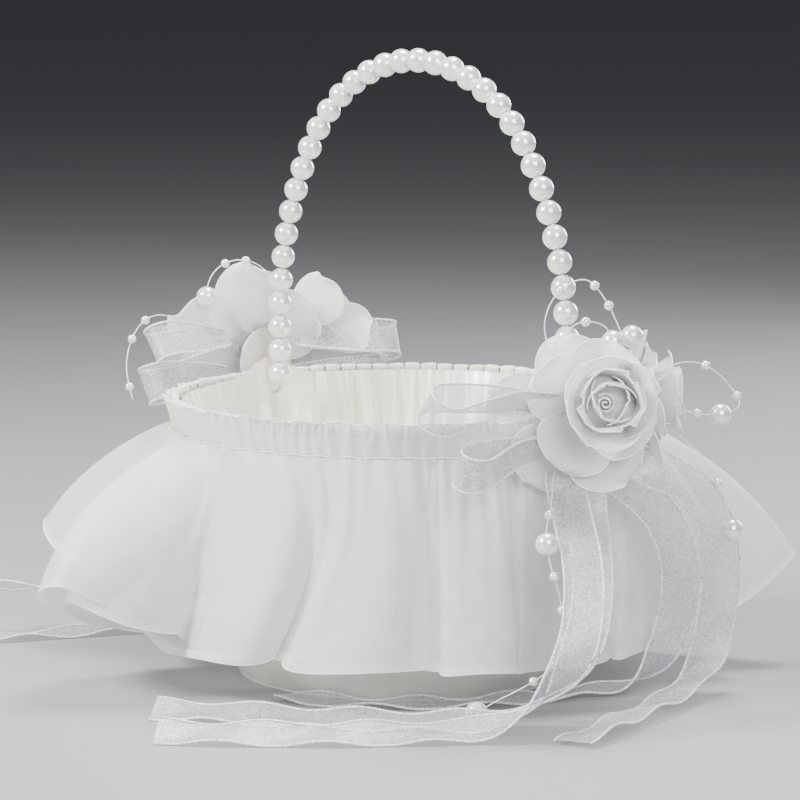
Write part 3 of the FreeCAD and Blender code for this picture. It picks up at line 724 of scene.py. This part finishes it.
def apply_modifiers(piece):
    """Bakes a piece's modifiers into its mesh at the current frame."""
    graph = bpy.context.evaluated_depsgraph_get()
    mesh = bpy.data.meshes.new_from_object(piece.evaluated_get(graph))
    piece.modifiers.clear()
    piece.data = mesh
    mesh.polygons.foreach_set("use_smooth", [True] * len(mesh.polygons))


def inflate(piece, voxel, limit):
    """Puffs a closed piece up with pressure, no point moving further than the limit."""
    remesh = piece.modifiers.new("remesh", "REMESH")
    remesh.mode = "VOXEL"
    remesh.voxel_size = voxel
    bpy.context.view_layer.update()
    apply_modifiers(piece)
    before = np.array([v.co for v in piece.data.vertices])
    puff = piece.modifiers.new("cloth", "CLOTH")
    puff.settings.use_pressure = True
    puff.settings.uniform_pressure_force = 4
    puff.settings.effector_weights.gravity = 0
    for step in range(1, 21):
        bpy.context.scene.frame_set(step)
    apply_modifiers(piece)
    bpy.context.scene.frame_set(1)
    after = np.array([v.co for v in piece.data.vertices])
    move = after - before
    reach = np.linalg.norm(move, axis=1)[:, None]
    after = before + move * np.minimum(1, limit / np.maximum(reach, 1e-9))
    piece.data.vertices.foreach_set("co", after.ravel())
    smooth = piece.modifiers.new("smooth", "SUBSURF")
    smooth.levels = smooth.render_levels = 1
    apply_modifiers(piece)


def make_rim_pleats(satin):
    """Small box pleats of satin that stand side by side on the rim."""
    turn = turns(18)
    corner = np.sign(np.cos(turn)) * np.abs(np.cos(turn)) ** 0.55
    rise = np.sign(np.sin(turn)) * np.abs(np.sin(turn)) ** 0.55
    pleats = []
    for k in range(PLEAT_COUNT):
        lean = 0.35 * math.sin(7.3 * k + 1) + 0.25 * math.sin(2.1 * k)
        height = 4.6 + 0.45 * math.sin(5.1 * k)
        middle = 2 * math.pi * (k + 0.5) / PLEAT_COUNT
        stations = []
        # Along a pleat, from end to end: where, and how far it is pinched in.
        for share, pinch in ((-1, 0.72), (-0.93, 0.92), (-0.5, 1), (0, 1.04), (0.5, 1),
                             (0.93, 0.92), (1, 0.72)):
            theta = middle + share * 0.46 * 2 * math.pi / PLEAT_COUNT
            radius = PLEAT_RADIUS + 1.55 * pinch * corner + lean * (rise + 1) / 2
            z = PLEAT_HEIGHT + height / 2 * pinch * rise + 0.2 * share * math.sin(3.7 * k)
            stations.append(round_z(radius, theta, z))
        pleats.append(np.array(stations))
    ring = joined("rim_box_pleats", pleats, tube_faces, satin)
    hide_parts("rim_pleats")


# --- the skirt ---

# Folds round the whole skirt: at the thread, half way down and at the hem.
FINE_GATHERS = 92
MIDDLE_GATHERS = 37
HEM_FOLDS = 15
PLAIN_HEM_RADIUS = 106.0
# Big folds: direction round Z in degrees, reach past the plain hem in mm, half width in degrees.
SKIRT_FOLDS = [
    (37, 40, 7), (55, 58, 8), (105, 34, 12), (140, 44, 12), (172, 28, 9),
    (201, 64, 10), (251, 60, 11), (285, 10, 9), (310, 6, 8), (335, 8, 9),
]


def hem_reach(direction, fullness):
    """Radius of the hem in a direction; fullness scales the folds."""
    radius = np.full_like(direction, PLAIN_HEM_RADIUS)
    for fold, height, width in SKIRT_FOLDS:
        turn = (direction - fold + 180) % 360 - 180
        radius += fullness * height * np.exp(-(turn / width) ** 2)
    return radius


def skirt_points(rows, columns, chord, inset, fullness, start, phase):
    """A gathered layer: big folds at the hem that split into many small ones at the thread.

    It starts at the radius start, and is chord mm from there to the hem in a straight line.
    The inset draws the hem in, and the phase sets its small folds apart from the other layer's.
    """
    theta = turns(columns)
    direction = np.degrees(theta)
    share = np.linspace(0, 1, rows)[:, None]
    warp = (theta + 0.05 * np.sin(3 * theta + 0.7 + phase) + 0.03 * np.sin(7 * theta + 2.1)
            + 0.012 * np.sin(19 * theta + phase))
    fine = np.sin(FINE_GATHERS * warp + phase)
    middle = np.sin(MIDDLE_GATHERS * warp + 1.4 * np.sin(5 * theta + phase) + 0.8 * share)
    turn = (HEM_FOLDS * warp + 1.6 * np.sin(2 * theta + 0.5) + 0.9 * np.sin(4 * theta)
            + 0.25 * phase)
    # The folds are calmer in front and deeper at the front left.
    calm = (1 - 0.55 * np.exp(-(((direction - 335 + 180) % 360 - 180) / 22) ** 2)
            + 0.45 * np.exp(-((direction - 268) / 26) ** 2))
    gather = 0.6 * (1 - share) ** 2 * fine
    soft = 1.3 * (share + 0.02) ** 0.5 * (1.25 - share) * (middle - 1)
    # Round ridges part at sharp valleys, as in cloth drawn up on a thread.
    lean = (0.25 + 0.55 * np.sin(3 * theta + 1.2)) * share
    deep = -10.5 * calm * share ** 0.85 * (1 - np.abs(np.sin(turn / 2 + lean))) ** 1.3
    wave = np.minimum(1, 14 * share + 0.5) * (gather + soft + deep)
    out = hem_reach(direction, fullness) - inset - start
    down = np.sqrt(chord ** 2 - out ** 2)
    arc = math.pi * share / 2
    radius = start + out * (0.45 * np.sin(arc) + 0.55 * share) + wave
    height = GATHER_HEIGHT - 0.6 - down * (0.45 * (1 - np.cos(arc)) + 0.55 * share)
    # The hem is drawn up a little in front, where the foot of the drum shows.
    drawn_up = 3.2 + 3.6 * np.exp(-((direction - 310) / 38) ** 2)
    height = (height - 0.3 * deep * share + drawn_up * share ** 2
              + 0.9 * share ** 3 * np.sin(21 * warp + 2 * phase))
    radius = np.maximum(radius, drum_radius(height) + 1.4)
    # At the front left the folds bow out to one side and sweep back to the other.
    sweep = 0.15 * np.exp(-((direction - 287) / 24) ** 2) * (0.6 * np.sin(2 * arc) - share ** 2)
    angle = theta + 0.085 * calm * share ** 1.2 * np.cos(turn + 2 * lean + 0.9) + sweep
    return round_z(radius, angle, height)


def make_skirt_layer(name, node, points, organza, hem_cloth, edge):
    """One layer with its narrow turned hem and the bright edge of the hem."""
    layer = cloth(name, points, organza)
    band = points[-round(len(points) * 0.045):]
    outward = unit(band * [1, 1, 0])
    hem = cloth(name + "_hem", band + 0.3 * outward, hem_cloth)
    cord = tubes(name + "_edge", [points[-1]], 0.32, edge, True)
    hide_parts(node)


def make_skirts(edge):
    """Two layers of white organza."""
    organza = organza_material("organza", (0.93, 0.932, 0.93), (0.82, 0.835, 0.845), 0.54)
    hem_cloth = organza_material("organza_hem", (0.97, 0.97, 0.97), (0.92, 0.93, 0.93), 0.55)
    upper = skirt_points(64, 1440, chord=90, inset=0, fullness=1, start=97.1, phase=0.0)
    under = skirt_points(56, 1200, chord=88, inset=4, fullness=0.86, start=95.8, phase=1.9)
    make_skirt_layer("skirt_top_layer", "skirt_upper", upper, organza, hem_cloth, edge)
    make_skirt_layer("skirt_lower_layer", "skirt_under", under, organza, hem_cloth, edge)


def make_heading(organza, edge_thread):
    """The gathered heading above the stitching, ragged at its top edge."""
    theta = turns(1440)
    share = np.linspace(0, 1, 16)[:, None]
    warp = theta + 0.04 * np.sin(5 * theta) + 0.02 * np.sin(11 * theta + 1)
    pleat = np.sin(FINE_GATHERS * warp)
    ragged = np.sin(173 * warp + 2 * np.sin(9 * theta))
    ragged += 0.6 * np.sin(311 * warp + 3 * np.sin(17 * theta)) - 0.8
    stands = 10.6 + 3.0 * (0.5 + 0.5 * np.cos(theta - math.radians(FRONT)))
    height = (GATHER_HEIGHT + 0.2 + share * stands
              + share ** 4 * (0.45 * ragged + 0.4 * np.sin(37 * warp)))
    radius = (drum_radius(height) + 0.8 + 0.45 * pleat * (1 - 0.6 * share)
              + share ** 3 * (0.8 * ragged + 0.7 * np.sin(61 * warp + 1)))
    points = round_z(radius, theta, height)
    frill = cloth("heading_gathers", points[::-1], organza)
    edge = tubes("heading_edge", [points[-1]], 0.3, edge_thread, True)
    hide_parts("heading_frill")


def make_stitches(thread):
    """The line of machine stitches that holds the gathers."""
    count = 190
    paths = []
    for k in range(count):
        theta = 2 * math.pi * (k + np.linspace(0.1, 0.9, 5)) / count
        radius = drum_radius(GATHER_HEIGHT) + 1.75 + 0.35 * np.sin(np.linspace(0, math.pi, 5))
        height = GATHER_HEIGHT + 0.15 * math.sin(1.7 * k)
        paths.append(round_z(radius, theta, height))
    stitches = tubes("stitch_line", paths, 0.33, thread)
    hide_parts("gather_thread")


# --- ribbon ---

# Ribbon tails: the ways the width lies where the tail hangs and where it rests, then
# (x, y, z, lie) stations in mm.
TAILS = {
    "tail_right_inner": ((0.68, 0.73, 0), (-0.70, 0.66, 0.28), [
        (106, -3, 97, 0), (108, -4.5, 93, 0), (112, -8, 88, 0), (119, -15, 81, 0),
        (130, -24, 70, 0), (139, -32, 56, 0), (142, -38, 40, 0.1), (138, -43, 25, 0.3),
        (129, -49, 12, 0.6), (115, -59, 4, 0.9), (97, -74, 2.6, 1), (75, -93, 2.5, 1),
        (49, -111, 2.5, 1), (25, -126, 2.5, 1), (5, -140, 2.5, 1),
    ]),
    "tail_right_outer": ((0.68, 0.73, 0), (-0.70, 0.66, 0.34), [
        (107, -15, 96, 0), (110, -18, 92, 0), (116, -22, 86, 0), (125, -28, 78, 0),
        (136, -35, 67, 0), (144, -42, 54, 0), (147, -48, 38, 0.1), (144, -55, 24, 0.3),
        (135, -63, 12, 0.6), (122, -76, 4, 0.9), (108, -94, 3, 1), (92, -115, 3, 1),
        (74, -134, 3, 1), (56, -151, 3, 1), (38, -166, 3, 1),
    ]),
    "tail_right_base": ((0.68, 0.73, 0), (-0.66, 0.75, 0.02), [
        (103, 12, 96, 0), (107, 16, 90, 0), (112, 24, 82, 0), (115, 33, 72, 0),
        (116, 40, 58, 0), (113, 45, 43, 0), (109, 46, 28, 0.1), (104, 42, 13, 0.4),
        (97, 29, 3, 0.8), (90, 11, 0.8, 1), (84, -9, 0.6, 1), (74, -33, 0.6, 1),
        (56, -56, 0.6, 1), (34, -72, 0.6, 1), (13, -79, 0.6, 1),
    ]),
    "tail_right_side": ((0.68, 0.73, 0), (0.95, 0.20, 0.15), [
        (106, 15, 101, 0), (111, 17.5, 98, 0), (119, 23, 94, 0), (127, 33, 88, 0),
        (130, 42, 78, 0), (129, 50, 65, 0), (124, 57, 48, 0), (119, 60, 31, 0.1),
        (118, 57, 16, 0.4), (121, 44, 6, 0.8), (128, 20, 1.8, 1), (137, -8, 1.6, 1),
        (146, -35, 1.6, 1), (154, -58, 1.6, 1),
    ]),
    "tail_left_near": ((0.10, -0.99, 0), (0.93, -0.37, 0.02), [
        (-106, -12, 103, 0), (-107.5, -12, 97, 0), (-110.5, -12.5, 88, 0),
        (-115, -12, 76, 0), (-120, -12, 62, 0), (-125.5, -13, 47, 0), (-129.5, -15, 32, 0),
        (-132, -19, 18, 0.2), (-134, -27, 7, 0.7), (-138, -38, 1.4, 1),
        (-145, -54, 0.8, 1), (-153, -72, 0.8, 1), (-161, -91, 0.8, 1), (-168, -110, 0.8, 1),
    ]),
    "tail_left_far": ((0.10, -0.99, 0), (0.85, -0.45, 0.25), [
        (-108.5, -2, 103, 0), (-110.5, -2, 96, 0), (-114, -2, 86, 0), (-119.5, -3, 73, 0),
        (-125, -5, 59, 0), (-131, -9, 46, 0.2), (-138, -16, 34, 0.5), (-145, -27, 25, 0.8),
        (-151, -40, 20, 1), (-158, -54, 18.5, 1), (-166, -69, 19, 1), (-175, -84, 21, 1),
    ]),
}


def ribbon_grid(path, across, cup, ripple, phase):
    """Rows of points across a ribbon that follows a path.

    across has the way of the width at each point of the path, and ripple the height in mm of
    the buckles there.  The ribbon's middle stands cup mm above its edges.
    """
    heading = unit(np.gradient(path, axis=0))
    side = unit(across - heading * (across * heading).sum(axis=1)[:, None])
    normal = np.cross(heading, side)
    place = np.linspace(-1, 1, 9)
    run = running_total(np.linalg.norm(np.diff(path, axis=0), axis=1))
    lift = (cup * (1 - place ** 2)
            + ripple[:, None] * np.sin(run[:, None] / 6.5 + phase + 1.3 * place))
    return (path[:, None] + side[:, None] * (place[:, None] * RIBBON_WIDTH / 2)
            + normal[:, None] * lift[..., None])


def ribbon_piece(name, strips, mesh_cloth, edge_cord):
    """Strips of sheer ribbon as one piece, and their bright edge cords as another."""
    body = joined(name, strips, sheet_faces, mesh_cloth, True)
    edges = [strip[:, column] for strip in strips for column in (0, -1)]
    return body, tubes(name + "_edges", edges, 0.5, edge_cord)


def make_tails(mesh_cloth, edge_cord):
    """Ribbon ends that hang over the skirt and lie on the table."""
    for k, (label, (hang_across, lie_across, stations)) in enumerate(TAILS.items()):
        path = smooth_path(stations, 120)
        lie = np.clip(path[:, 3:4], 0, 1)
        across = np.array(hang_across) * (1 - lie) + np.array(lie_across) * lie
        ripple = 0.3 + 1.0 * lie[:, 0]
        path[:, 2] += lie[:, 0]
        strip = ribbon_grid(path[:, :3], across, 0.5, ripple, 1.7 * k)
        strip[..., 2] = np.maximum(strip[..., 2], 0.55)
        tail, cords = ribbon_piece(label + "_ribbon", [strip], mesh_cloth, edge_cord)
        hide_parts(label)


# Loops of each bow: root, heading, then length, swell and neck in mm, and the roll in degrees
# that lets the eye look into the loop.
BOW_LOOPS = {
    "right": [
        ((104, -7, 122), (-0.20, -0.98, 0.10), 72, 7, 27, 38),
        ((104.5, -7, 106), (-0.14, -0.98, -0.05), 60, 6, 25, 24),
        ((103, -4, 122), (0.02, 1, 0), 24, 2.2, 6, 0),
    ],
    "left": [
        ((-105, -6, 129), (0.20, -0.96, 0.10), 44, 6, 12, -32),
        ((-105, -6, 113), (0.20, -0.96, 0.06), 48, 6, 12, -24),
        ((-101.5, 28, 126.5), (0.50, 0.866, 0), 48, 5.5, 33, 30),
        ((-101.5, 28, 110.5), (0.50, 0.866, 0), 44, 5.5, 30, 22),
    ],
}
KNOTS = {"right": (109, -4, 110), "left": (-108.5, -6, 112)}


def loop_strip(root, heading, length, swell, neck, roll, phase):
    """One bow loop: gathered at its root, out to a wide round end and back."""
    heading = unit(heading)
    outward = unit(np.cross(heading, [0, 0, 1.0]))
    if outward @ [root[0], root[1], 0] < 0:
        outward = -outward
    across = np.cross(outward, heading)
    roll = math.radians(roll)
    outward, across = (outward * math.cos(roll) + across * math.sin(roll),
                       across * math.cos(roll) - outward * math.sin(roll))
    run = [0, neck * 0.6, neck * 1.1, length - 1.6 * swell, length - 0.35 * swell, length,
           length - 0.35 * swell, length - 1.6 * swell, neck * 1.15, neck * 0.6, 0]
    bulge = [0, 0, 0, 0, 0.35 * swell, swell, 1.7 * swell, 1.95 * swell, 2.2, 1, 1]
    line = smooth_path(np.stack([run, bulge], axis=-1), 90)
    path = np.array(root) + heading * line[:, :1] + outward * line[:, 1:]
    strip = ribbon_grid(path, np.tile(across, (len(path), 1)), 0, np.full(len(path), 0.25),
                        phase)
    # The ribbon is drawn together towards the knot, in small pleats.
    open_share = np.clip(line[:, 0] / (0.75 * length), 0, 1) ** 0.7
    squeeze = 0.45 + 0.55 * open_share
    place = np.linspace(-1, 1, strip.shape[1])
    strip = path[:, None] + (strip - path[:, None]) * squeeze[:, None, None]
    pleats = 0.35 * (1 - open_share)[:, None] * np.sin(9 * place + phase)
    return strip + outward * pleats[..., None]


def make_bow(side, mesh_cloth, edge_cord):
    """A bow's loops and its wrapped knot."""
    strips = [loop_strip(*shape, 1.1 * k) for k, shape in enumerate(BOW_LOOPS[side])]
    loops, cords = ribbon_piece(f"bow_{side}", strips, mesh_cloth, edge_cord)
    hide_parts(f"bow_loops_{side}")
    turn = turns(24)
    rings = []
    for share in np.linspace(-1, 1, 15):
        waist = 2.5 * math.sqrt(max(1 - (0.93 * share) ** 2, 0.02))
        crease = 0.18 * np.sin(6 * turn + 3 * share) + 0.12 * np.sin(11 * turn)
        rings.append(KNOTS[side] + round_z(waist + crease, turn, 3.9 * share))
    rings = np.array(rings)
    knot = mesh_object(f"knot_{side}", rings, [tuple(reversed(f)) for f in tube_faces(rings)],
                       mesh_cloth)
    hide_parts(f"bow_knot_{side}")


# --- roses ---

def petal(turn, foot, length, width, lean, curl, wrap, seed):
    """A round petal in the rose's own frame, whose axis is Z, as a grid of points in mm.

    It starts foot from the axis and leans up from lean[0] to lean[1] degrees, its lip curling
    back by curl degrees.  Across, it bends round with the radius wrap.  The steeper it stands,
    the blunter its tip.
    """
    u = np.linspace(-1, 1, 25)
    v = np.linspace(0, 1, 23)[:, None]
    shoulder = 0.50 + 0.0045 * lean[0]
    rising = 0.34 + 0.66 * np.sin(np.minimum(v / 0.55, 1) * math.pi / 2)
    rounding = np.sqrt(1 - (np.maximum(v - shoulder, 0) / (1.004 - shoulder)) ** 2)
    half = width / 2 * rising * rounding * (1 + 0.03 * np.sin(5 * v + seed))
    lip = np.clip((v - 0.72) / 0.28, 0, 1)
    angle = np.radians(lean[0] + (lean[1] - lean[0]) * v - curl * lip ** 2)
    step = length / (len(v) - 1)
    out = foot + np.cumsum(np.cos(angle), axis=0) * step
    up = np.cumsum(np.sin(angle), axis=0) * step
    bent = u * half / wrap
    edge = u ** 4 * v
    lift = (wrap * (1 - np.cos(bent)) - 0.025 * width * edge - 0.055 * wrap * v * u
            + 0.018 * width * v ** 2 * np.sin(3.6 * u + seed)
            + 0.010 * width * v * np.sin(7 * u + 1.7 * seed + 4 * v))
    radial = out - lift * np.sin(angle)
    height = up + lift * np.cos(angle)
    sideways = wrap * np.sin(bent)
    x = radial * math.cos(turn) - sideways * math.sin(turn)
    y = radial * math.sin(turn) + sideways * math.cos(turn)
    return np.stack([x, y, height + 0 * u], axis=-1)


def petal_rim(grid):
    """The free edge of a petal: up one side, over the tip and down the other."""
    return np.concatenate([grid[5:, 0], grid[-1, 1:-1], grid[5:, -1][::-1]])


def bud_spiral(radius, rise, windings, seed):
    """The rolled heart of a rose, its top edge leaning in to a point."""
    a = np.linspace(0, windings * 2 * math.pi, 120)
    v = np.linspace(0, 1, 14)[:, None]
    share = a / a.max()
    out = radius * (0.10 + 0.90 * share) * (0.80 + 0.75 * v - 0.95 * v ** 3)
    top = rise * (1 - 0.16 * share ** 2 + 0.035 * np.sin(3 * a + seed))
    return round_z(out, a + seed, top * v)


def dome(radius, height):
    """A low dome across a rose: inside the heart it keeps the hollows between petals shallow."""
    a = np.linspace(0, 2 * math.pi, 49)
    share = np.linspace(0.02, 1, 12)[:, None]
    return round_z(radius * share, a, height * (1 - 0.4 * share ** 2))


def rose_axes(facing):
    """The rose's own X, Y and Z axes for the way it faces."""
    z = unit(facing)
    x = unit(np.cross([0, 0, 1.0], z))
    return np.stack([x, np.cross(z, x), z])


# Rings of a rose 28 mm in radius, from the open outside in: number of petals, foot, length and
# width in mm, lean in degrees at the foot and the lip, curl in degrees, wrap in mm.
ROSE_RINGS = [
    (5, 3.0, 27.5, 28, (8, 14), 14, 90),
    (4, 2.5, 23.5, 29, (20, 32), 22, 34),
    (3, 3.5, 23.0, 37, (44, 66), 12, 16.5),
    (3, 4.2, 21.5, 33, (58, 88), 5, 12.5),
    (3, 4.6, 20.5, 26, (68, 104), 0, 9.5),
]
# Foot in mm, the way it faces, radius, how far the outer petals are set off, seed.
ROSES = {
    "rose_right": ((113, -1, 122), (0.73, -0.66, 0.12), 29, (-12, -5), 0.4),
    "side_rose_right": ((104, 26, 121), (0.68, 0.73, 0.10), 24, (0, -2), 1.7),
    "rose_left": ((-107, 6, 124), (-0.90, 0.35, 0.25), 30, (0, 2), 2.9),
    "side_rose_left": ((-100, 40, 125), (-0.55, 0.82, 0.15), 23, (0, 1), 4.2),
}


def make_rose(label, foot, facing, radius, set_off, seed, petal_cloth, edge_cloth):
    """Rings of petals from wide open outside to upright inside, round a rolled heart.

    The outer petals are set off to one side, by set_off mm in the rose's own X and Y.
    """
    k = radius / 28
    grids = []
    for ring, (count, inner, length, width, lean, curl, wrap) in enumerate(ROSE_RINGS):
        for n in range(count):
            turn = 2 * math.pi * (n + 0.43 * ring) / count + seed + 0.1 * math.sin(4 * n + ring)
            wobble = 1 + 0.05 * math.sin(3.3 * n + 1.9 * ring + seed)
            grid = petal(turn, inner * k, length * k * wobble, width * k * wobble, lean,
                         curl, wrap * k, seed + n + 2.2 * ring)
            grids.append(grid + np.array([*set_off, 0]) * max(1 - 0.6 * ring, -0.2))
    rims = [petal_rim(grid) for grid in grids]
    grids.append(bud_spiral(6.2 * k, 21.0 * k, 2.3, seed))
    rims.append(grids[-1][-1])
    grids.append(dome(12.5 * k, 17.0 * k))
    # A small one closes the foot, which shows from behind.
    grids.append(dome(6.5 * k, 0.8 * k))
    axes = rose_axes(facing)
    base = np.array(foot) + 0.6 * axes[2]
    rose = joined(label + "_bloom", [grid @ axes + base for grid in grids], sheet_faces,
                  petal_cloth, True)
    thick = rose.modifiers.new("thickness", "SOLIDIFY")
    thick.thickness = 0.3 * MM
    thick.offset = 0
    apply_modifiers(rose)
    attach(rose, "basket")
    for layer in ("outer_petals", "inner_petals", "bud"):
        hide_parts(f"{label}_{layer}")
    tubes(label + "_petal_edges", [rim @ axes + base for rim in rims], 0.33, edge_cloth)


def make_roses():
    """A big and a small rose on each side."""
    petals = petal_material()
    edges = petal_edge_material()
    for label, shape in ROSES.items():
        make_rose(label, *shape, petals, edges)


# --- the whole scene ---

make_camera()
make_garland()
make_studio()

satin = satin_material()
thread = thread_material()
ribbon = ribbon_material()
ribbon_edge_painted_glints = metallic_edge_material()
card = board_material()
felt = felt_material()

make_handle(steel_material())
make_drum_cover(satin)
make_lining(lining_material())
make_floor_pad(satin)
make_rim_pleats(satin)
make_stitches(thread)
make_skirts(thread)
make_heading(organza_material("heading_organza", (0.91, 0.91, 0.90), (0.85, 0.85, 0.84), 0.7),
             thread)
make_tails(ribbon, ribbon_edge_painted_glints)
for side in ("right", "left"):
    make_bow(side, ribbon, ribbon_edge_painted_glints)
    paint(f"felt_pad_{side}", felt)
make_roses()
paint("bottom_cover", satin)
paint("base_board", card)
paint("wall_shell", card)
